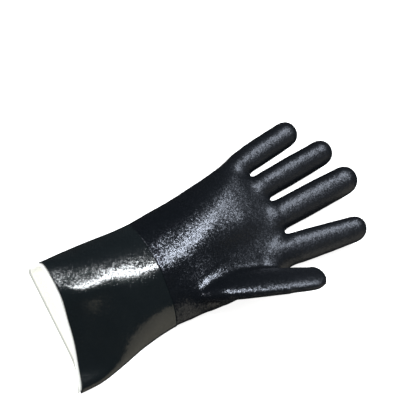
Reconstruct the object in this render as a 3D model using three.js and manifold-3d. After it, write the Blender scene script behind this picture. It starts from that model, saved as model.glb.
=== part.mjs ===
// A PVC coated work glove for the right hand, lying on its back with the palm up.
// X runs towards the thumb, Y from the mouth of the gauntlet to the fingertips, Z up.
import * as THREE from 'three';
import { mergeVertices } from 'three/addons/utils/BufferGeometryUtils.js';
import Module from 'manifold-3d';

const wasm = await Module();
wasm.setup();

// Driving sizes, in millimetres
const gauntletLength = 90;
const palmLength = 124;
const mouthWidth = 112;
const mouthHeight = 39;
const mouthCorner = 10;
const cornerReach = 50;
const palmWidth = 108;
const palmThickness = 37;
const coatWall = 1.2;
const linerWall = 1;
const gripBuildUp = 0.4;
const linerShow = 1.5;
const gap = 0.3;

// How finely the sections are drawn
const pointsPerSpan = 4;
const fingerSides = 16;
const capSteps = 3;
const capOpening = 0.35;
const tangentStep = 0.2;

// How far blocks and inner forms reach past what they cut
const farAway = 1000;
const cutReach = 30;

// How a section's outline turns between the points that its row gives. heelStart is a share of the
// width across, heelRound and sideRound of the row's round, sideMiddle of its crown, slopeRise of the
// full height, and the last three of its edge.
const turns = {
  heelStart: 0.02,
  heelRound: 0.9,
  sideMiddle: 0.5,
  sideRound: 1.2,
  slopeRise: 0.05,
  lipIn: 0.6,
  lipUp: 1.85,
  footIn: 0.8,
};

// The mouth's corner by the thumb lies further back. These powers say how fast that fades across the
// upper and the lower side, and along the gauntlet.
const cornerFade = { upper: 2, lower: 4, along: 4 };

// From this share of palmLength on, an inner form steps back from the webs by its inset.
const webStart = 0.75;

function table(columns, rows) {
  return rows.map((row) => Object.fromEntries(columns.map((name, i) => [name, row[i]])));
}

const sectionColumns = ['at', 'left', 'right', 'round', 'side', 'crownX', 'crown', 'shoulderX', 'shoulder',
  'edge'];

// Sections of the gauntlet, from the mouth to the wrist. at is a share of gauntletLength, side a share
// of the row's crown, crown, shoulder and edge are heights in shares of mouthHeight, and the rest are
// shares of mouthWidth.
const gauntletRows = table(sectionColumns, [
  [0.00, -0.503, 0.500, 0.012, 0.90, -0.320, 1.00, 0.300, 0.27, 0.100],
  [0.17, -0.503, 0.505, 0.040, 0.86, -0.225, 1.00, 0.365, 0.27, 0.105],
  [0.39, -0.495, 0.463, 0.065, 0.81, -0.160, 0.99, 0.320, 0.43, 0.130],
  [0.61, -0.483, 0.415, 0.080, 0.79, -0.130, 0.97, 0.245, 0.64, 0.170],
  [0.82, -0.468, 0.387, 0.092, 0.77, -0.110, 0.96, 0.215, 0.77, 0.240],
]);

// Sections of the hand, from the wrist to the webs between the fingers. at is a share of palmLength,
// side a share of the row's crown, crown, shoulder and edge are shares of palmThickness, and the rest
// are shares of palmWidth.
const palmRows = table(sectionColumns, [
  [0.00, -0.481, 0.389, 0.100, 0.75, -0.100, 1.01, 0.220, 0.81, 0.280],
  [0.19, -0.492, 0.396, 0.105, 0.74, -0.095, 1.02, 0.225, 0.82, 0.340],
  [0.36, -0.501, 0.417, 0.110, 0.75, -0.125, 1.02, 0.235, 0.79, 0.380],
  [0.53, -0.524, 0.424, 0.110, 0.76, -0.165, 0.98, 0.240, 0.74, 0.380],
  [0.71, -0.546, 0.424, 0.105, 0.79, -0.225, 0.89, 0.250, 0.70, 0.370],
  [0.85, -0.580, 0.418, 0.100, 0.82, -0.260, 0.78, 0.260, 0.68, 0.360],
  [0.94, -0.585, 0.400, 0.100, 0.86, -0.260, 0.67, 0.260, 0.61, 0.330],
  [1.00, -0.535, 0.340, 0.100, 0.90, -0.240, 0.44, 0.240, 0.41, 0.220],
]);

// Broad hollows pressed into the palm side. x and spreadX are shares of palmWidth, y and spreadY of
// palmLength counted from the wrist, and depth a share of palmThickness.
const hollows = table(['x', 'y', 'spreadX', 'spreadY', 'depth'], [
  [0.06, 0.56, 0.13, 0.26, 0.11],
  [0.15, 0.03, 0.15, 0.16, 0.06],
  [-0.06, -0.40, 0.10, 0.16, 0.05],
]);

// The little, ring, middle and index finger, and the thumb. Each runs length from its root, which is
// sunk in the hand, and rises towards its tip. turn is in degrees towards the thumb, skew is the share
// by which its side rises, and bend is the share of the rise that its first half has.
const digitSizes = table(['length', 'rootWidth', 'tipWidth', 'rise', 'turn', 'skew', 'bend'], [
  [75.8, 23.6, 21.6, 7, -6.5, -0.15, 0],
  [96.0, 23.8, 21.8, 9, -3.4, -0.35, 0],
  [105.4, 26.4, 24.0, 9, -1.4, -0.28, 0],
  [94.0, 29.0, 21.4, 8, 8.6, -0.32, 0],
  [116.4, 30.0, 22.4, 22, 22, 0.50, 0.85],
]);

// Where the same five are rooted and how thick they are. x is a share of palmWidth, y of palmLength
// counted from the wrist, and z and depth of the digit's own width.
const digitRoots = table(['x', 'y', 'z', 'depth'], [
  [-0.481, 0.79, 0.52, 0.94],
  [-0.264, 0.79, 0.52, 0.92],
  [-0.010, 0.79, 0.48, 0.86],
  [0.230, 0.79, 0.46, 0.82],
  [0.173, 0.17, 0.53, 0.84],
]);

// Sections of a finger before its round tip. at is a share of the length up to the tip's round, and
// swell a share of the finger's width there. The first section is sunk in the hand.
const digitRows = table(['at', 'swell'], [
  [0.00, 0.62],
  [0.28, 0.98],
  [0.48, 1.00],
  [0.66, 1.01],
  [0.84, 1.00],
  [1.00, 0.99],
]);

// Turns a closed set of triangles into a solid that can be joined and cut.
function toSolid(geometry) {
  const mesh = new wasm.Mesh({
    numProp: 3,
    vertProperties: new Float32Array(geometry.attributes.position.array),
    triVerts: new Uint32Array(geometry.index.array),
  });
  return new wasm.Manifold(mesh);
}

// Skins a row of rings, each drawn clockwise as seen from the first one's side. The ends are closed
// by fans about the hubs of the first and last ring.
function loft(rings) {
  const sides = rings[0].points.length;
  const positions = rings.flatMap((ring) => ring.points).flatMap((point) => point.toArray());
  const index = [];
  for (let row = 0; row + 1 < rings.length; row += 1) {
    for (let side = 0; side < sides; side += 1) {
      const a = row * sides + side;
      const b = row * sides + (side + 1) % sides;
      index.push(a, b, a + sides, b, b + sides, a + sides);
    }
  }
  for (const row of [0, rings.length - 1]) {
    const hub = positions.length / 3;
    positions.push(...rings[row].hub.toArray());
    for (let side = 0; side < sides; side += 1) {
      const a = row * sides + side;
      const b = row * sides + (side + 1) % sides;
      index.push(...(row === 0 ? [hub, b, a] : [hub, a, b]));
    }
  }
  const geometry = new THREE.BufferGeometry();
  geometry.setAttribute('position', new THREE.Float32BufferAttribute(positions, 3));
  geometry.setIndex(index);
  return toSolid(geometry);
}

// The back of the glove lies flat, so no point of a skin that lies inset below it goes lower.
function settled(z, inset) {
  return Math.max(z, inset, 0);
}

function smoothStep(value) {
  const t = THREE.MathUtils.clamp(value, 0, 1);
  return t * t * (3 - 2 * t);
}

// How far the palm side is pressed in at a place
function hollowDepth(x, y) {
  return hollows.reduce((sum, hollow) => {
    const u = (x - hollow.x * palmWidth) / (hollow.spreadX * palmWidth);
    const v = (y - gauntletLength - hollow.y * palmLength) / (hollow.spreadY * palmLength);
    return sum + hollow.depth * palmThickness * Math.exp(-u * u - v * v);
  }, 0);
}

// One section of the gauntlet or the hand, moved inwards by inset. Its outline runs from the flat
// underside up the little finger's side, over the crown and down the slope to the thumb's side.
function bodyRing(y, row, width, height, inset) {
  const left = row.left * width;
  const right = row.right * width;
  const crown = row.crown * height;
  const shoulder = row.shoulder * height;
  const edge = row.edge * height;
  const outline = [
    [left + (turns.heelStart + turns.heelRound * row.round) * (right - left), 0],
    [left, (turns.sideMiddle - turns.sideRound * row.round) * crown],
    [left + row.round * width, row.side * crown],
    [row.crownX * width, crown],
    [(row.crownX + row.shoulderX) * width / 2, (crown + shoulder) / 2 + turns.slopeRise * height],
    [row.shoulderX * width, shoulder],
    [right - turns.lipIn * edge, turns.lipUp * edge],
    [right, edge],
    [right - turns.footIn * edge, 0],
  ];
  const curve = new THREE.CatmullRomCurve3(
    outline.map(([x, z]) => new THREE.Vector3(x, 0, z)), true, 'centripetal');
  const count = outline.length * pointsPerSpan;
  const points = [];
  for (let i = 0; i < count; i += 1) {
    const point = curve.getPoint(i / count);
    const before = curve.getPoint((i - tangentStep + count) / count % 1);
    const tangent = curve.getPoint((i + tangentStep) / count % 1).sub(before).normalize();
    const x = point.x + inset * tangent.z;
    const z = point.z - inset * tangent.x;
    const upper = smoothStep(point.z / crown);
    const fromCorner = THREE.MathUtils.clamp((point.x - right + cornerReach) / cornerReach, 0, 1);
    const nearMouth = THREE.MathUtils.clamp(1 - y / gauntletLength, 0, 1);
    const across = fromCorner ** (point.z > edge ? cornerFade.upper : cornerFade.lower);
    const shifted = y - mouthCorner * across * nearMouth ** cornerFade.along;
    points.push(new THREE.Vector3(x, shifted, settled(z - upper * hollowDepth(x, y), inset)));
  }
  return { points, hub: new THREE.Vector3(row.shoulderX * width, y, shoulder / 2) };
}

// The gauntlet and palm as one body. reach carries its first section out past the mouth.
function body(inset, reach) {
  const rings = gauntletRows.map((row) =>
    bodyRing(row.at * gauntletLength, row, mouthWidth, mouthHeight, inset));
  rings.push(...palmRows.map((row) => {
    const stepBack = inset * smoothStep((row.at - webStart) / (1 - webStart));
    const y = gauntletLength + row.at * palmLength - stepBack;
    return bodyRing(y, row, palmWidth, palmThickness, inset);
  }));
  if (reach > 0) {
    const { points, hub } = rings[0];
    const moved = (point) => point.clone().setY(point.y - reach);
    rings.unshift({ points: points.map(moved), hub: moved(hub) });
  }
  return loft(rings);
}

// A finger or the thumb: rings along a curve that rises towards the tip, closed by a round cap
function digit(part, seat, inset) {
  const angle = THREE.MathUtils.degToRad(part.turn);
  const ahead = new THREE.Vector3(Math.sin(angle), Math.cos(angle), 0);
  const root = new THREE.Vector3(seat.x * palmWidth, gauntletLength + seat.y * palmLength,
    seat.z * part.rootWidth);
  const bend = root.clone().addScaledVector(ahead, part.length / 2).setZ(root.z + part.bend * part.rise);
  const end = root.clone().addScaledVector(ahead, part.length).setZ(root.z + part.rise);
  const path = new THREE.QuadraticBezierCurve3(root, bend, end);
  const tipRadius = part.tipWidth / 2;
  const capStart = 1 - tipRadius / part.length;
  const stations = digitRows.map((row) => ({ at: row.at * capStart, swell: row.swell, lean: 0 }));
  stations[0].at = inset / part.length;
  const tipSwell = digitRows.at(-1).swell;
  for (let step = 1; step <= capSteps; step += 1) {
    const lean = step / (capSteps + capOpening) * Math.PI / 2;
    stations.push({ at: capStart, swell: tipSwell, lean });
  }
  const rings = stations.map(({ at, swell, lean }) => {
    const tangent = path.getTangent(Math.max(at, 0));
    const side = tangent.clone().cross(new THREE.Vector3(0, 0, 1)).normalize();
    const up = side.clone().cross(tangent);
    const width = THREE.MathUtils.lerp(part.rootWidth, part.tipWidth, at / capStart) * swell;
    const halfWidth = width / 2;
    const across = (halfWidth - inset) * Math.cos(lean);
    const thick = (halfWidth * seat.depth - inset) * Math.cos(lean);
    const centre = path.getPoint(at).addScaledVector(tangent, Math.sin(lean) * (tipRadius - inset));
    const points = [];
    for (let i = 0; i < fingerSides; i += 1) {
      const spin = i / fingerSides * Math.PI * 2;
      const point = centre.clone();
      point.addScaledVector(side, -Math.sin(spin) * across);
      point.addScaledVector(up, -Math.cos(spin) * thick - Math.sin(spin) * part.skew * across);
      points.push(point.setZ(settled(point.z, inset)));
    }
    return { points, hub: centre };
  });
  return loft(rings);
}

// The whole outer form of the hand and gauntlet, moved inwards by inset
function gloveForm(inset, reach) {
  const tubes = digitSizes.map((part, i) => digit(part, digitRoots[i], inset));
  return tubes.reduce((whole, tube) => whole.add(tube), body(inset, reach));
}

// A block that reaches past the glove on all sides between two distances from the mouth
function slab(from, to) {
  const reach = 4 * (mouthWidth + palmWidth);
  const geometry = new THREE.BoxGeometry(reach, to - from, reach);
  geometry.translate(0, (from + to) / 2, 0);
  geometry.deleteAttribute('normal');
  geometry.deleteAttribute('uv');
  return toSolid(mergeVertices(geometry));
}

function meshOf(name, solid, material) {
  const { vertProperties, triVerts } = solid.getMesh();
  const geometry = new THREE.BufferGeometry();
  geometry.setAttribute('position', new THREE.BufferAttribute(vertProperties, 3));
  geometry.setIndex(new THREE.BufferAttribute(triVerts, 1));
  geometry.computeVertexNormals();
  const mesh = new THREE.Mesh(geometry, new THREE.MeshStandardMaterial(material));
  mesh.name = name;
  return mesh;
}

// The form of the space inside both coats
const insideCoat = gloveForm(coatWall, cutReach);

// Smooth PVC coat of the gauntlet, from the mouth to the dip line on the wrist
const gauntletCoat = gloveForm(0, 0)
  .subtract(insideCoat)
  .intersect(slab(-farAway, gauntletLength - gap / 2));

// Rough PVC coat of the palm, fingers and thumb, from the dip line on
const handCoat = gloveForm(-gripBuildUp, 0)
  .subtract(insideCoat)
  .intersect(slab(gauntletLength + gap / 2, farAway));

// Knitted lining inside both coats, its cut edge showing at the mouth
const knitLiner = gloveForm(coatWall + gap, linerShow)
  .subtract(gloveForm(coatWall + gap + linerWall, cutReach));

const glove = new THREE.Group();
glove.add(meshOf('gauntlet_coat', gauntletCoat, { color: 0x14191d, roughness: 0.25, metalness: 0 }));
glove.add(meshOf('hand_coat', handCoat, { color: 0x16191f, roughness: 0.55, metalness: 0 }));
glove.add(meshOf('knit_liner', knitLiner, { color: 0xf4f3ea, roughness: 0.95, metalness: 0 }));

// The origin goes under the middle of the glove, on the surface that it lies on.
const box = new THREE.Box3().setFromObject(glove);
const middle = box.getCenter(new THREE.Vector3());
glove.position.set(-middle.x, -middle.y, -box.min.z);
glove.updateMatrixWorld(true);

export default glove;
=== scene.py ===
import math

import bmesh
import bpy
import numpy as np
from mathutils import Matrix, Vector, noise


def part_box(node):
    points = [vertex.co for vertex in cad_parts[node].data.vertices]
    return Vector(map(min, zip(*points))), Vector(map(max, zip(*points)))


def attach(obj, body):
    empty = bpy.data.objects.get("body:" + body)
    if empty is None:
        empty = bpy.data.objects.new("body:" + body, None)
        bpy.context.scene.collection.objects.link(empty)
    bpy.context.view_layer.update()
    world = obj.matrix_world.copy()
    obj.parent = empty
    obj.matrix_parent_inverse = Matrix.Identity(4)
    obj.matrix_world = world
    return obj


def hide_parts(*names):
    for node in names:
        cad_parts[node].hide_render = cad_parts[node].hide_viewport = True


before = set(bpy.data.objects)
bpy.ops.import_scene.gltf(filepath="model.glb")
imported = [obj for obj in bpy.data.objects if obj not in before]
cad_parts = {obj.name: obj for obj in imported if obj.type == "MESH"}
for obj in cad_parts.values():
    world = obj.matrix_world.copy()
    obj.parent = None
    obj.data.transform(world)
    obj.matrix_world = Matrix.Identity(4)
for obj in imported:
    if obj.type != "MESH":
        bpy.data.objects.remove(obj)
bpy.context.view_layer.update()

# Knitted lining. A white jersey glove, knitted and cut to the length of the coats, is drawn over a
# hand former first, so that it carries the form that both coats are dipped onto. Its raw edge
# stands out of the mouth and curls a little over the cut edge of the coat.
GAUNTLET_LENGTH = 0.090
PALM_LENGTH = 0.124
MOUTH_WIDTH = 0.112
MOUTH_HEIGHT = 0.039
MOUTH_CORNER = 0.010
CORNER_REACH = 0.050
PALM_WIDTH = 0.108
PALM_THICKNESS = 0.037
COAT_WALL = 0.0012
LINER_GAP = 0.0003
LINER_WALL = 0.0010

# Where the former's middle line and its mouth lie in the glove's frame
MIDLINE = 0.00047
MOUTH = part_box("gauntlet_coat")[0].y + MOUTH_CORNER

# The former goes on past the mouth by OVERRUN. SECTION_BLUR says how softly one section goes over
# into the next, and the rest how finely the form is drawn.
FORM_END = GAUNTLET_LENGTH + PALM_LENGTH
OVERRUN = 0.024
SECTION_BLUR = 0.005
RING_STEP = 0.002
BODY_POINTS = 132
DIGIT_POINTS = 48
SPAN_POINTS = 24
NEARLY_TOUCHING = 0.0002

# Sections of the form: at, left, right, curl, side, crown_x, crown, shoulder_x, shoulder, edge, as
# shares of the length, width and height of the gauntlet and of the palm
GAUNTLET_SECTIONS = [
    (0.00, -0.503, 0.500, 0.012, 0.90, -0.320, 1.00, 0.300, 0.27, 0.100),
    (0.17, -0.503, 0.505, 0.040, 0.86, -0.225, 1.00, 0.365, 0.27, 0.105),
    (0.39, -0.495, 0.463, 0.065, 0.81, -0.160, 0.99, 0.320, 0.43, 0.130),
    (0.61, -0.483, 0.415, 0.080, 0.79, -0.130, 0.97, 0.245, 0.64, 0.170),
    (0.82, -0.468, 0.387, 0.092, 0.77, -0.110, 0.96, 0.215, 0.77, 0.240),
]
PALM_SECTIONS = [
    (0.00, -0.481, 0.389, 0.100, 0.75, -0.100, 1.01, 0.220, 0.81, 0.280),
    (0.19, -0.492, 0.396, 0.105, 0.74, -0.095, 1.02, 0.225, 0.82, 0.340),
    (0.36, -0.501, 0.417, 0.110, 0.75, -0.125, 1.02, 0.235, 0.79, 0.380),
    (0.53, -0.524, 0.424, 0.110, 0.76, -0.165, 0.98, 0.240, 0.74, 0.380),
    (0.71, -0.546, 0.424, 0.105, 0.79, -0.225, 0.89, 0.250, 0.70, 0.370),
    (0.85, -0.580, 0.418, 0.100, 0.82, -0.260, 0.78, 0.260, 0.68, 0.360),
    (0.94, -0.585, 0.400, 0.100, 0.86, -0.260, 0.67, 0.260, 0.61, 0.330),
    (1.00, -0.535, 0.340, 0.100, 0.90, -0.240, 0.44, 0.240, 0.41, 0.220),
]

# How a section's outline turns between the points of its row. HEEL_START is a share of the width
# across, HEEL_ROUND and SIDE_ROUND of the row's curl, SIDE_MIDDLE of its crown, SLOPE_RISE of the
# full height, and the last three of its edge.
HEEL_START = 0.02
HEEL_ROUND = 0.9
SIDE_MIDDLE = 0.5
SIDE_ROUND = 1.2
SLOPE_RISE = 0.05
EDGE_IN = 0.6
EDGE_UP = 1.85
FOOT_IN = 0.8

# The mouth's corner by the thumb lies further back. These powers say how fast that fades across the
# upper and the lower side, and along the gauntlet.
UPPER_FADE = 2.0
LOWER_FADE = 4.0
ALONG_FADE = 4

# Broad hollows in the palm side, in shares of the palm: x, y, spread across, spread along, depth
HOLLOWS = [
    (0.06, 0.56, 0.13, 0.26, 0.11),
    (0.15, 0.03, 0.15, 0.16, 0.06),
    (-0.06, -0.40, 0.10, 0.16, 0.05),
]

# Shallow swellings and dents: x, y, half width, half length, turn towards the thumb, and height.
# UNEVEN adds waves as a hand-dipped coat has: how many to the metre, and their height.
SWELLINGS = [
    (-0.0130, 0.024, 0.0135, 0.036, 16, 0.0030),
    (-0.0200, 0.004, 0.0120, 0.015, 10, 0.0011),
    (-0.009, 0.142, 0.011, 0.045, -18, -0.0014),
    (-0.022, 0.174, 0.009, 0.018, -24, -0.0011),
    (0.041, 0.196, 0.041, 0.036, 0, -0.0072),
    (-0.024, 0.201, 0.026, 0.014, 0, -0.0024),
    (0.024, 0.139, 0.010, 0.018, 22, 0.0008),
]
UNEVEN = [(18, 0.0007), (40, 0.00035)]

# The web by the little finger lies further back, by WEB_BACK at the end of the palm. That starts at
# WEB_FROM along it and left of WEB_SIDE, and grows over WEB_SPREAD.
WEB_FROM = 0.192
WEB_SIDE = -0.028
WEB_SPREAD = 0.014
WEB_BACK = 0.0085

# Little, ring, middle and index finger, and the thumb: length, width at root and tip, rise, turn,
# skew, bend, and the root's x, y, height and depth. The root is sunk in the hand.
DIGITS = [
    (0.0758, 0.0221, 0.0216, 0.007, -6.6, -0.13, 0, -0.491, 0.79, 0.55, 0.97),
    (0.0960, 0.0227, 0.0218, 0.009, -3.3, -0.24, 0, -0.261, 0.79, 0.54, 0.94),
    (0.1054, 0.0264, 0.0240, 0.009, -1.4, -0.18, 0, -0.010, 0.79, 0.48, 0.86),
    (0.0940, 0.0290, 0.0214, 0.008, 8.6, -0.22, 0, 0.230, 0.79, 0.46, 0.82),
    (0.1164, 0.0300, 0.0224, 0.022, 22, 0.66, 0.85, 0.173, 0.17, 0.53, 0.84),
]

# How full a finger is along its length, how round across it, and how its tip closes
SWELL_AT = [0.00, 0.28, 0.48, 0.66, 0.84, 1.00]
SWELL = [0.62, 0.98, 1.00, 1.01, 1.00, 0.99]
FINGER_ROUND = 0.86
TIP_RINGS = 9
TIP_CLOSED = 0.96


def absolute_sections():
    """The sections in metres, but curl and side as shares. The slope's rise comes last."""
    rows = []
    for table, start, length, width, height in (
        (GAUNTLET_SECTIONS, 0, GAUNTLET_LENGTH, MOUTH_WIDTH, MOUTH_HEIGHT),
        (PALM_SECTIONS, GAUNTLET_LENGTH, PALM_LENGTH, PALM_WIDTH, PALM_THICKNESS),
    ):
        for at, left, right, curl, side, crown_x, crown, shoulder_x, shoulder, edge in table:
            rows.append((start + at * length, left * width, right * width, curl, curl * width,
                         side, crown_x * width, crown * height, shoulder_x * width,
                         shoulder * height, edge * height, SLOPE_RISE * height))
    return np.array(rows)


def smoothed_sections(step=0.001):
    """The same sections at every millimetre, blended from one to the next."""
    rows = absolute_sections()
    along = np.arange(-OVERRUN, FORM_END + step / 2, step)
    reach = int(3 * SECTION_BLUR / step)
    kernel = np.exp(-0.5 * (np.arange(-reach, reach + 1) * step / SECTION_BLUR) ** 2)
    kernel /= kernel.sum()
    columns = [along]
    for k in range(1, rows.shape[1]):
        exact = np.interp(along, rows[:, 0], rows[:, k])
        spread = np.concatenate([2 * exact[0] - exact[reach:0:-1], exact,
                                 2 * exact[-1] - exact[-2:-reach - 2:-1]])
        columns.append(np.convolve(spread, kernel, mode="valid"))
    return np.array(columns)


SMOOTHED = smoothed_sections()


def closed_curve(points, per_span):
    """Samples a smooth closed curve through the points, tighter where they lie close together."""
    before, start = np.roll(points, 1, axis=0), points
    end, after = np.roll(points, -1, axis=0), np.roll(points, -2, axis=0)
    d0 = np.sqrt(np.linalg.norm(start - before, axis=1))[:, None]
    d1 = np.sqrt(np.linalg.norm(end - start, axis=1))[:, None]
    d2 = np.sqrt(np.linalg.norm(after - end, axis=1))[:, None]
    leave = ((start - before) / d0 - (end - before) / (d0 + d1) + (end - start) / d1) * d1
    reach = ((end - start) / d1 - (after - start) / (d1 + d2) + (after - end) / d2) * d1
    t = (np.arange(per_span) / per_span)[None, :, None]
    curve = ((2 * t**3 - 3 * t**2 + 1) * start[:, None] + (t**3 - 2 * t**2 + t) * leave[:, None]
             + (3 * t**2 - 2 * t**3) * end[:, None] + (t**3 - t**2) * reach[:, None])
    return curve.reshape(-1, 2)


def evenly(curve, count):
    """Spaces a closed curve's points evenly along its length."""
    closed = np.vstack([curve, curve[:1]])
    run = np.concatenate([[0], np.cumsum(np.linalg.norm(np.diff(closed, axis=0), axis=1))])
    places = np.linspace(0, run[-1], count, endpoint=False)
    return np.column_stack([np.interp(places, run, closed[:, k]) for k in (0, 1)])


def ease(share):
    """Goes softly from 0 to 1 as the share does."""
    share = np.clip(share, 0, 1)
    return share * share * (3 - 2 * share)


def press(x, y, z, crown):
    """How deep the palm side is pressed in at a place."""
    depth = 0
    for hollow_x, hollow_y, spread_x, spread_y, share in HOLLOWS:
        u = (x - hollow_x * PALM_WIDTH) / (spread_x * PALM_WIDTH)
        v = (y - GAUNTLET_LENGTH - hollow_y * PALM_LENGTH) / (spread_y * PALM_LENGTH)
        depth = depth + share * PALM_THICKNESS * np.exp(-u * u - v * v)
    for at_x, at_y, wide, long, turn, height in SWELLINGS:
        turn = math.radians(turn)
        u = ((x - at_x) * math.cos(turn) - (y - at_y) * math.sin(turn)) / wide
        v = ((x - at_x) * math.sin(turn) + (y - at_y) * math.cos(turn)) / long
        depth = depth - height * np.exp(-u * u - v * v)
    for scale, height in UNEVEN:
        depth = depth - height * np.array([noise.noise((at * scale, y * scale, 7)) for at in x])
    return ease(z / crown) * depth


def section(y, inset, count):
    """One section of the form at y, moved inwards by inset, as (x, y, z) rows."""
    (left, right, curl, curl_x, side, crown_x, crown, shoulder_x, shoulder, edge, slope) = (
        np.interp(y, SMOOTHED[0], column) for column in SMOOTHED[1:])
    knots = np.array([
        (left + (HEEL_START + HEEL_ROUND * curl) * (right - left), 0),
        (left, (SIDE_MIDDLE - SIDE_ROUND * curl) * crown),
        (left + curl_x, side * crown),
        (crown_x, crown),
        ((crown_x + shoulder_x) / 2, (crown + shoulder) / 2 + slope),
        (shoulder_x, shoulder),
        (right - EDGE_IN * edge, EDGE_UP * edge),
        (right, edge),
        (right - FOOT_IN * edge, 0),
    ])
    ring = evenly(closed_curve(knots, SPAN_POINTS), count)
    along = np.roll(ring, -1, axis=0) - np.roll(ring, 1, axis=0)
    along /= np.linalg.norm(along, axis=1)[:, None]
    x = ring[:, 0] + inset * along[:, 1]
    z = ring[:, 1] - inset * along[:, 0]
    z = np.maximum(z - press(x, y, ring[:, 1], crown), max(inset, 0))
    near_web = max(0, (y - WEB_FROM) / (FORM_END - WEB_FROM))
    back = WEB_BACK * near_web * ease((WEB_SIDE - x) / WEB_SPREAD)
    return np.column_stack([x, y - back, z])


def digit_rings(digit, inset, count, step):
    """Rings of a finger from its sunk root to its round tip, moved inwards by inset."""
    (length, root_width, tip_width, rise, turn, skew, bend, root_x, root_y, root_z, depth) = digit
    turn = math.radians(turn)
    ahead = Vector((math.sin(turn), math.cos(turn), 0))
    root = Vector((root_x * PALM_WIDTH, GAUNTLET_LENGTH + root_y * PALM_LENGTH,
                   root_z * root_width))
    middle = root + ahead * length / 2 + Vector((0, 0, bend * rise))
    end = root + ahead * length + Vector((0, 0, rise))
    tip = tip_width / 2
    last = 1 - tip / length
    tube = [(share * last, 0) for share in np.linspace(0, 1, round(length / step))]
    cap = [(last, lean) for lean in np.linspace(0, math.pi / 2 * TIP_CLOSED, TIP_RINGS)[1:]]
    spin = np.linspace(0, 2 * math.pi, count, endpoint=False)
    sine, cosine = (np.sign(wave) * np.abs(wave) ** FINGER_ROUND
                    for wave in (np.sin(spin), np.cos(spin)))
    rings = []
    for at, lean in tube + cap:
        tangent = ((middle - root) * (1 - at) + (end - middle) * at).normalized()
        side = tangent.cross(Vector((0, 0, 1))).normalized()
        up = side.cross(tangent)
        width = root_width + (tip_width - root_width) * at / last
        half = width / 2 * np.interp(at / last, SWELL_AT, SWELL)
        centre = root * (1 - at) ** 2 + middle * 2 * at * (1 - at) + end * at * at
        centre = centre + tangent * math.sin(lean) * (tip - inset)
        across = (half - inset) * math.cos(lean)
        thick = (half * depth - inset) * math.cos(lean)
        ring = (np.array(centre) - np.outer(sine * across, side)
                - np.outer(cosine * thick + skew * sine * across, up))
        ring[:, 2] = np.maximum(ring[:, 2], max(inset, 0))
        rings.append(ring)
    return rings


def draw_tube(mesh, rings, caps=True):
    """Draws a tube out ring by ring in the mesh."""
    points = bmesh.ops.create_circle(mesh, segments=len(rings[0]), radius=1)["verts"]
    edges = list(dict.fromkeys(edge for point in points for edge in point.link_edges))
    for point, place in zip(points, rings[0]):
        point.co = place
    if caps:
        bmesh.ops.edgeloop_fill(mesh, edges=edges)
    for ring in rings[1:]:
        drawn = bmesh.ops.extrude_edge_only(mesh, edges=edges)["geom"]
        edges = [item for item in drawn if isinstance(item, bmesh.types.BMEdge)]
        fresh = {item for item in drawn if isinstance(item, bmesh.types.BMVert)}
        points = [next(edge.other_vert(point) for edge in point.link_edges
                       if edge.other_vert(point) in fresh) for point in points]
        for point, place in zip(points, ring):
            point.co = place
    if caps:
        bmesh.ops.edgeloop_fill(mesh, edges=edges)


def new_piece(name, mesh):
    """Makes a piece of the glove from its mesh, with smooth shading."""
    data = bpy.data.meshes.new(name)
    mesh.to_mesh(data)
    mesh.free()
    data.shade_smooth()
    piece = bpy.data.objects.new(name, data)
    bpy.context.scene.collection.objects.link(piece)
    return piece


def soften(mesh, verts, rounds):
    """Works some of a mesh's points smooth, round after round."""
    for _ in range(rounds):
        bmesh.ops.smooth_vert(mesh, verts=verts, factor=0.5,
                              use_axis_x=True, use_axis_y=True, use_axis_z=True)


def hand_form(inset, voxel, rounds):
    """The form of the whole hand as one closed skin, with palm and fingers merged."""
    mesh = bmesh.new()
    stations = np.arange(-OVERRUN + RING_STEP, FORM_END + RING_STEP / 2, RING_STEP)
    draw_tube(mesh, [section(y, inset, BODY_POINTS) for y in stations])
    for digit in DIGITS:
        draw_tube(mesh, digit_rings(digit, inset, DIGIT_POINTS, RING_STEP))
    bmesh.ops.recalc_face_normals(mesh, faces=mesh.faces)
    former = new_piece("former", mesh)
    merge = former.modifiers.new("merge", "REMESH")
    merge.mode = "VOXEL"
    merge.voxel_size = voxel
    evaluated = former.evaluated_get(bpy.context.evaluated_depsgraph_get())
    mesh = bmesh.new()
    mesh.from_mesh(evaluated.to_mesh())
    evaluated.to_mesh_clear()
    bpy.data.objects.remove(former)
    soften(mesh, mesh.verts, rounds)
    return mesh


def trim(mesh, y):
    """Cuts a form off square at a distance from the mouth, and joins points that nearly touch."""
    bmesh.ops.bisect_plane(mesh, geom=mesh.verts[:] + mesh.edges[:] + mesh.faces[:],
                           plane_co=(0, y, 0), plane_no=(0, 1, 0), clear_inner=True)
    bmesh.ops.remove_doubles(mesh, verts=mesh.verts, dist=NEARLY_TOUCHING)


def add_wall(piece, thickness):
    """Gives a skin its wall, on the inside."""
    wall = piece.modifiers.new("wall", "SOLIDIFY")
    wall.thickness = thickness
    wall.offset = -1


def mouth_shift(x, y, z, right, edge):
    """How much further back the mouth's corner by the thumb lies."""
    from_corner = np.clip((x - right + CORNER_REACH) / CORNER_REACH, 0, 1)
    near_mouth = np.clip(1 - y / GAUNTLET_LENGTH, 0, 1)
    power = np.where(z > edge, UPPER_FADE, LOWER_FADE)
    return MOUTH_CORNER * from_corner**power * near_mouth**ALONG_FADE


def place_form(mesh):
    """Moves a mesh from the former's frame to the glove's place."""
    right = MOUTH_WIDTH * GAUNTLET_SECTIONS[0][2]
    edge = MOUTH_HEIGHT * GAUNTLET_SECTIONS[0][9]
    for vert in mesh.verts:
        x, y, z = vert.co
        y -= float(mouth_shift(x, y, z, right, edge))
        vert.co = (x + MIDLINE, y + MOUTH, max(z, 0))


# How far the lining stands out of the mouth, how far its edge curls, how finely its skin is drawn,
# and in how many rounds it is worked smooth
LIP = 0.0022
CURL = 0.0017
LINER_VOXEL = 0.0016
LINER_ROUNDS = 6

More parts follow.
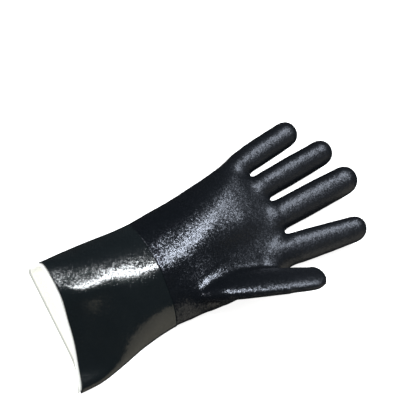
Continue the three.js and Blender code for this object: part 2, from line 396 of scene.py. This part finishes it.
lining = hand_form(COAT_WALL + LINER_GAP, LINER_VOXEL, LINER_ROUNDS)
trim(lining, -LIP)
lining.normal_update()
for vert in lining.verts:
    if vert.co.y < 0:
        vert.co += vert.normal * CURL * (-vert.co.y / LIP)
place_form(lining)
knit_liner = new_piece("knit_liner_cloth", lining)
add_wall(knit_liner, LINER_WALL)


class Value:
    """A number that varies over a surface, worked out as in plain arithmetic."""

    def __init__(self, finish, socket):
        self.finish = finish
        self.socket = socket

    def math(self, operation, *sources):
        node = self.finish.node("ShaderNodeMath", {"operation": operation},
                                dict(enumerate(sources)))
        return Value(self.finish, node.outputs[0])

    def __add__(self, other):
        return self.math("ADD", self, other)

    __radd__ = __add__

    def __sub__(self, other):
        return self.math("SUBTRACT", self, other)

    def __rsub__(self, other):
        return self.math("SUBTRACT", other, self)

    def __mul__(self, other):
        return self.math("MULTIPLY", self, other)

    __rmul__ = __mul__

    def __truediv__(self, other):
        return self.math("DIVIDE", self, other)

    def __pow__(self, other):
        return self.math("POWER", self, other)

    def size(self):
        return self.math("ABSOLUTE", self)

    def fraction(self):
        return self.math("FRACT", self)

    def between(self, low, high):
        """From 0 below low to 1 above high."""
        node = self.finish.node("ShaderNodeMapRange", {"interpolation_type": "SMOOTHSTEP"},
                                {"Value": self, "From Min": low, "From Max": high})
        return Value(self.finish, node.outputs[0])


class Finish:
    """The make-up of one surface: its material and the nodes that vary it."""

    def __init__(self, name, **constants):
        self.material = bpy.data.materials.new(name)
        self.material.use_nodes = True
        self.tree = self.material.node_tree
        self.tree.nodes.clear()
        self.shader = self.node("ShaderNodeBsdfPrincipled", {}, constants)
        self.node("ShaderNodeOutputMaterial", {}, {"Surface": self.shader.outputs[0]})
        self.place = self.node("ShaderNodeTexCoord").outputs["Object"]
        split = self.node("ShaderNodeSeparateXYZ", {}, {"Vector": self.place})
        self.x, self.y, self.z = (Value(self, socket) for socket in split.outputs)

    def node(self, kind, settings=None, sockets=None):
        """Adds a node: its settings first, then the values or links of its sockets."""
        node = self.tree.nodes.new(kind)
        for key, value in (settings or {}).items():
            setattr(node, key, value)
        for key, value in (sockets or {}).items():
            socket = node.inputs[key]
            value = value.socket if isinstance(value, Value) else value
            if isinstance(value, bpy.types.NodeSocket):
                self.tree.links.new(value, socket)
            else:
                socket.default_value = value
        return node

    def cloud(self, scale, detail=2.0, roughness=0.5):
        """Soft random patches, scale of them to the metre."""
        node = self.node("ShaderNodeTexNoise", {}, {"Vector": self.place, "Scale": scale,
                                                    "Detail": detail, "Roughness": roughness})
        return Value(self, node.outputs[0])

    def cells(self, scale):
        """The distance to the nearest of many scattered points, scale of them to the metre."""
        node = self.node("ShaderNodeTexVoronoi", {}, {"Vector": self.place, "Scale": scale})
        return Value(self, node.outputs["Distance"])

    def blend(self, share, first, second):
        """One colour where share is 0 and another where it is 1."""
        first, second = (colour if isinstance(colour, bpy.types.NodeSocket) else (*colour, 1)
                         for colour in (first, second))
        node = self.node("ShaderNodeMix", {"data_type": "RGBA"},
                         {"Factor": share, 6: first, 7: second})
        return node.outputs[2]

    def grit(self, scale, tilt):
        """Small flat grains, scale of them to the metre, each turned its own way by up to tilt."""
        grains = self.node("ShaderNodeTexVoronoi", {}, {"Vector": self.place, "Scale": scale})
        facing = self.node("ShaderNodeNewGeometry").outputs["Normal"]
        turned = self.vector("SUBTRACT", grains.outputs["Color"], (0.5, 0.5, 0.5))
        turned = self.vector("MULTIPLY", turned, (tilt, tilt, tilt))
        return self.vector("NORMALIZE", self.vector("ADD", facing, turned))

    def vector(self, operation, *sources):
        """A sum, difference or the like of directions."""
        return self.node("ShaderNodeVectorMath", {"operation": operation},
                         dict(enumerate(sources))).outputs[0]

    def relief(self, height, depth, strength=1.0, under=None):
        """A fine relief of the given depth in metres, over another one if given."""
        sockets = {"Height": height, "Distance": depth, "Strength": strength}
        if under is not None:
            sockets["Normal"] = under
        return self.node("ShaderNodeBump", {}, sockets).outputs[0]

    def finish(self, **sockets):
        """Links what varies to the shader's own sockets, and returns the material."""
        for key, value in sockets.items():
            socket = self.shader.inputs[key.replace("_", " ")]
            self.tree.links.new(value.socket if isinstance(value, Value) else value, socket)
        return self.material


# White cotton jersey: columns of small V stitches along the glove, with stray fibres, and painted
# shade between the threads. It glows a little by painted light. Where it nears the table its cut
# edge is frayed, with a painted grey shadow along it.
STITCH_WIDTH = 0.0013
STITCH_HEIGHT = 0.0010
STITCH_DEPTH = 0.0005
STITCH_DRIFT = 0.0016
# Where the painted grey shadow lies along the lining's frayed cut edge near the table, and its grey
NEAR_TABLE = (0.004, 0.010)
FRAYED_EDGE_SHADOW_BAND = (MOUTH - LIP + 0.0009, MOUTH - LIP + 0.0024)
FRAY_LENGTH = 0.0012
THREAD = (0.90, 0.91, 0.87)
SHADE_BETWEEN_THREADS = (0.70, 0.70, 0.65)
YELLOWED = (0.80, 0.79, 0.70)
EDGE_SHADOW_GREY = (0.22, 0.23, 0.21)
# Painted light: the jersey's emission makes the lining glow, standing in for light that brightens
# it inside the mouth.
knit = Finish("white_jersey", **{"Specular IOR Level": 0.2, "Emission Color": (1, 1, 0.97, 1),
                                 "Emission Strength": 0.28})
drift = knit.cloud(90, 2) * STITCH_DRIFT
column = ((knit.x + knit.z + drift) / STITCH_WIDTH).fraction() - 0.5
course = ((knit.y + drift) / STITCH_HEIGHT + column.size() * 1.2).fraction() - 0.5
loop = (1 - column.size() * 2) ** 0.6 * (1 - course.size() * 2) ** 0.5
fuzz = knit.cloud(1400, 3, 0.7)
stain = knit.cloud(45, 3, 0.6).between(0.45, 0.75)
fibre = knit.relief(loop * 0.7 + fuzz * 0.4, STITCH_DEPTH, 0.8)
# Painted shade: the knit is coloured darker where its loops sink between the threads.
shade = (loop * 0.8 + fuzz * 0.5).between(0.15, 0.9)
white = knit.blend(shade, SHADE_BETWEEN_THREADS, THREAD)
white = knit.blend(stain * 0.25, white, YELLOWED)
# Painted shadow: near the table the lining's cut edge is greyed in a ragged band for the shade the
# edge casts; the ragged line itself is the real fray.
low = 1 - knit.z.between(*NEAR_TABLE)
frayed_edge_shadow = 1 - (knit.y + fuzz * FRAY_LENGTH).between(*FRAYED_EDGE_SHADOW_BAND)
white = knit.blend(low * frayed_edge_shadow * 0.9, white, EDGE_SHADOW_GREY)
knit_liner.data.materials.append(knit.finish(
    Base_Color=white, Normal=fibre, Roughness=fuzz * 0.2 + 0.8))
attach(knit_liner, "root")
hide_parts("knit_liner")

# Smooth PVC coat of the gauntlet. The lined former is dipped in liquid black PVC, which cures to a
# glossy skin about a millimetre thick. The mouth is then trimmed straight through coat and knit.
GAUNTLET_POINTS = 216
GAUNTLET_STEP = 0.0015
DIP_GAP = 0.00015

# The trimmed edge, slightly rounded: distance from the mouth and inset
RIM_START = 0.0010
RIM = [(0.0006, 0.0), (0.00018, 0.0001), (0.0, 0.0006), (0.00018, 0.0011), (0.0006, 0.0012)]

mesh = bmesh.new()
stations = np.linspace(GAUNTLET_LENGTH + DIP_GAP, RIM_START,
                       round(GAUNTLET_LENGTH / GAUNTLET_STEP))
rings = [section(y, 0, GAUNTLET_POINTS) for y in stations]
rings += [section(y, inset, GAUNTLET_POINTS) for y, inset in RIM]
rings += [section(y, COAT_WALL, GAUNTLET_POINTS) for y in stations[::-4]]
draw_tube(mesh, rings, caps=False)
ends = [edge for edge in mesh.edges if edge.is_boundary]
bmesh.ops.bridge_loops(mesh, edges=ends)
bmesh.ops.recalc_face_normals(mesh, faces=mesh.faces)
place_form(mesh)
gauntlet = new_piece("gauntlet_skin", mesh)

# Black PVC with a green cast. It shines, has a slight orange peel, and is pricked by pinholes.
# GRAINS says how many grains to the metre glint by themselves.
GRAINS = 1150
PEEL_DEPTH = 0.0003
PINHOLE_DEPTH = 0.00012
GREEN_BLACK = (0.0045, 0.0070, 0.0085)
GREEN_BLACK_WORN = (0.0075, 0.0105, 0.0120)
smooth_pvc = Finish("smooth_pvc", **{"IOR": 1.5, "Specular IOR Level": 0.5})
peel = smooth_pvc.cloud(150, 2, 0.5)
dust = smooth_pvc.cloud(1800, 2, 0.6)
pinholes = smooth_pvc.cells(520).between(0.10, 0.24)
swell = smooth_pvc.relief(peel, PEEL_DEPTH, 0.5, smooth_pvc.grit(GRAINS, 0.10))
skin = smooth_pvc.relief(pinholes * 0.7 + dust * 0.3, PINHOLE_DEPTH, 0.5, swell)
dark = smooth_pvc.blend(smooth_pvc.cloud(60, 3), GREEN_BLACK, GREEN_BLACK_WORN)
gauntlet.data.materials.append(smooth_pvc.finish(
    Base_Color=dark, Normal=skin, Roughness=0.13 + smooth_pvc.cloud(240, 3, 0.6) * 0.10))
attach(gauntlet, "root")
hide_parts("gauntlet_coat")

# Rough PVC coat of the hand. A second dip as far as the wrist is strewn with PVC grit while it is
# wet, so that the palm, fingers and thumb have a dull sandy skin that grips.
# GRIT is how much it builds up, and SMOOTHING_LOSS what working it smooth takes off again.
GRIT = 0.0004
SMOOTHING_LOSS = 0.0002
HAND_VOXEL = 0.0013
HAND_ROUNDS = 24

# Thick dip runs together in the webs: x, y, radius. It also evens out the top of the knuckles,
# between two distances from the mouth.
WEBS = [(-0.0428, 0.2015, 0.010), (-0.0171, 0.2070, 0.010), (0.0117, 0.2070, 0.010),
        (0.0400, 0.2010, 0.016), (0.0330, 0.165, 0.014)]
WEB_ROUNDS = 12
KNUCKLES_FROM = 0.182
KNUCKLES_TO = 0.214
KNUCKLES_ABOVE = 0.010
KNUCKLE_ROUNDS = 40

mesh = hand_form(-GRIT - SMOOTHING_LOSS, HAND_VOXEL, HAND_ROUNDS)
trim(mesh, GAUNTLET_LENGTH - DIP_GAP)
for x, y, radius in WEBS:
    near = [vert for vert in mesh.verts if math.hypot(vert.co.x - x, vert.co.y - y) < radius]
    soften(mesh, near, WEB_ROUNDS)
knuckles = [vert for vert in mesh.verts
            if KNUCKLES_FROM < vert.co.y < KNUCKLES_TO and vert.co.z > KNUCKLES_ABOVE]
soften(mesh, knuckles, KNUCKLE_ROUNDS)

# Creases that folding leaves in the palm: x, y, half width, half length, turn of the length towards
# the thumb, and height
CREASES = [
    (0.0160, 0.131, 0.0028, 0.016, -8, -0.0004),
    (0.0310, 0.125, 0.0110, 0.014, 15, 0.0034),
    (0.0290, 0.172, 0.0050, 0.026, 28, -0.0010),
    (-0.0300, 0.098, 0.0200, 0.0035, 80, 0.0002),
]

# Fine wrinkles, how many to the metre and how high, that fade out towards the table. By the dip
# line the coat thins out over the smooth one, by STEP and from FEATHER on.
WRINKLE_SCALE = 90
WRINKLE_HEIGHT = 0.00016
WRINKLES_FADE = 0.004
FEATHER = 0.009
STEP = 0.0005


def work_over(mesh):
    """Presses the creases into the upper side, and wrinkles and feathers the whole coat."""
    mesh.normal_update()
    moves = []
    for vert in mesh.verts:
        x, y, z = vert.co
        lift = 0.0
        for at_x, at_y, wide, long, turn, height in CREASES:
            turn = math.radians(turn)
            along = (x - at_x) * math.sin(turn) + (y - at_y) * math.cos(turn)
            across = (x - at_x) * math.cos(turn) - (y - at_y) * math.sin(turn)
            lift += height * math.exp(-(across / wide) ** 2 - (along / long) ** 2)
        lift *= max(0.0, vert.normal.z)
        lift += WRINKLE_HEIGHT * noise.noise(vert.co * WRINKLE_SCALE) * min(1.0, z / WRINKLES_FADE)
        thin = 1 - min(1.0, max(0.0, (y - GAUNTLET_LENGTH) / FEATHER))
        moves.append(vert.normal * (lift - thin * thin * STEP))
    for vert, move in zip(mesh.verts, moves):
        vert.co += move


work_over(mesh)
place_form(mesh)
hand = new_piece("hand_skin", mesh)
add_wall(hand, COAT_WALL)

# Black PVC with a blue cast. Each grain is turned its own way and glints by itself, and the coat
# grows duller from the wrist towards the fingers.
SAND_DEPTH = 0.00020
BLUE_BLACK = (0.0022, 0.0032, 0.0044)
BLUE_BLACK_WORN = (0.0046, 0.0058, 0.0080)
DULLER_ALONG = (-0.03, 0.07)
rough_pvc = Finish("rough_pvc", **{"IOR": 1.5, "Specular IOR Level": 0.5,
                                   "Specular Tint": (0.84, 0.88, 1.0, 1)})
grains = rough_pvc.grit(GRAINS, 0.24)
sand = rough_pvc.cloud(1500, 3, 0.65)
lumps = rough_pvc.cloud(420, 2, 0.5)
surface = rough_pvc.relief(sand * 0.3 + lumps * 0.25, SAND_DEPTH, 1.0, grains)
dark = rough_pvc.blend(rough_pvc.cloud(300, 4), BLUE_BLACK, BLUE_BLACK_WORN)
dullness = 0.19 + rough_pvc.y.between(*DULLER_ALONG) * 0.19 + sand * 0.09
hand.data.materials.append(rough_pvc.finish(Base_Color=dark, Normal=surface, Roughness=dullness))
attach(hand, "root")
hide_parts("hand_coat")

# Studio. The glove lies on a table of white paper that is lit from below as well. The coats don't
# mirror the paper, so that their edges stay dark.
FLOOR_SIZE = 3
PAPER = (0.90, 0.90, 0.90)
PAPER_BRIGHT = (0.94, 0.94, 0.94)
mesh = bmesh.new()
bmesh.ops.create_grid(mesh, x_segments=1, y_segments=1, size=FLOOR_SIZE)
floor = new_piece("floor", mesh)
paper = Finish("white_paper", **{"Roughness": 0.9, "Specular IOR Level": 0.1,
                                 "Emission Color": (1, 1, 1, 1), "Emission Strength": 0.9})
floor.data.materials.append(paper.finish(
    Base_Color=paper.blend(paper.cloud(3, 2), PAPER, PAPER_BRIGHT)))
floor.visible_glossy = False

ROOM_LIGHT = 0.04
world = bpy.data.worlds.new("studio")
world.use_nodes = True
world.node_tree.nodes["Background"].inputs[0].default_value = (1, 1, 1, 1)
world.node_tree.nodes["Background"].inputs[1].default_value = ROOM_LIGHT
bpy.context.scene.world = world

# Lights. A long soft box hangs over the glove and draws the highlights along it, a second one faces
# the mouth and lights the lining, and a warm card stands beside the thumb. Each has its stand and
# its aim, both seen from the target, and its width, height, power and colour.
target = Vector((-0.0428, 0.0227, 0))
LIGHTS = {
    "key": ((-0.144, 0.44952, 1.104), (0, 0, 0), 0.17, 0.60, 18, (0.93, 0.97, 1)),
    "mouth_fill": ((-0.35, -1.1, 0.42), (0, -0.12, 0), 0.5, 0.4, 11, (1, 1, 1)),
    "warm_card": ((1.05, 0.45, 0.12), (0, 0, 0), 0.9, 0.96, 2.4, (1.0, 0.92, 0.74)),
}
for name, (stand, aim, width, height, power, colour) in LIGHTS.items():
    box = bpy.data.lights.new(name, "AREA")
    box.shape = "RECTANGLE"
    box.size, box.size_y = width, height
    box.energy = power
    box.color = colour
    light = bpy.data.objects.new(name, box)
    light.location = target + Vector(stand)
    facing = target + Vector(aim) - light.location
    light.rotation_euler = facing.to_track_quat("-Z", "Y").to_euler()
    bpy.context.scene.collection.objects.link(light)

# Camera. It looks down on the glove from the mouth's side, with the glove's length turned up to the
# right in the picture, which is VIEW_WIDTH across. Its long lens shows hardly any perspective.
AXIS_TILT = math.radians(26.57)
ELEVATION = math.radians(68)
LENS = 400
SENSOR = 36
VIEW_WIDTH = 0.337
ahead = Vector((0, math.sin(ELEVATION), math.cos(ELEVATION)))
toward = Vector((0, -math.cos(ELEVATION), math.sin(ELEVATION)))
thumbward = Vector((1, 0, 0))
right = thumbward * math.sin(AXIS_TILT) + ahead * math.cos(AXIS_TILT)
above = ahead * math.sin(AXIS_TILT) - thumbward * math.cos(AXIS_TILT)
camera_data = bpy.data.cameras.new("camera")
camera_data.lens = LENS
camera_data.sensor_width = SENSOR
camera_data.clip_end = 50
camera = bpy.data.objects.new("camera", camera_data)
camera.location = target + toward * (VIEW_WIDTH * LENS / SENSOR)
camera.rotation_euler = Matrix((right, above, toward)).transposed().to_euler()
bpy.context.scene.collection.objects.link(camera)
bpy.context.scene.camera = camera
bpy.context.scene.view_settings.view_transform = "Standard"
